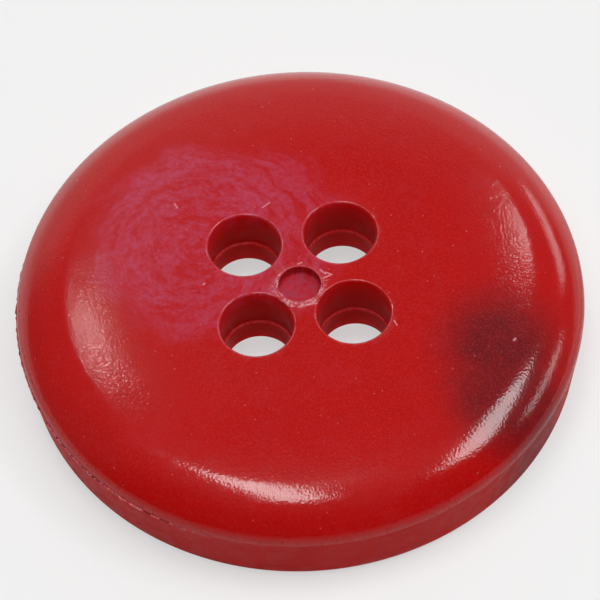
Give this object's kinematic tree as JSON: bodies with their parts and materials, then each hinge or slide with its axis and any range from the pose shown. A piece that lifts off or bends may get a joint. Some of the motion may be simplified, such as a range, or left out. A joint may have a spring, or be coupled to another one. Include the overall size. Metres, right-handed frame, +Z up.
{
  "type": "sewing button",
  "caption": "Round flat-faced plastic sewing button with a rounded shoulder, a hollow back and stepped thread holes in a square around a small gate pocket.",
  "frame": {"origin": "centre of the seat, the ring under the hollow back that the button rests on", "axes": "+Z up through the face; +X and +Y along the sides of the square of thread holes"},
  "size_m": [0.02, 0.02, 0.0038],
  "materials": {
    "marbled_plastic": "satin-gloss moulded plastic, red with a pink swirl and one maroon cloud"
  },
  "bodies": {
    "root": {"button": "marbled_plastic"}
  },
  "joints": []
}
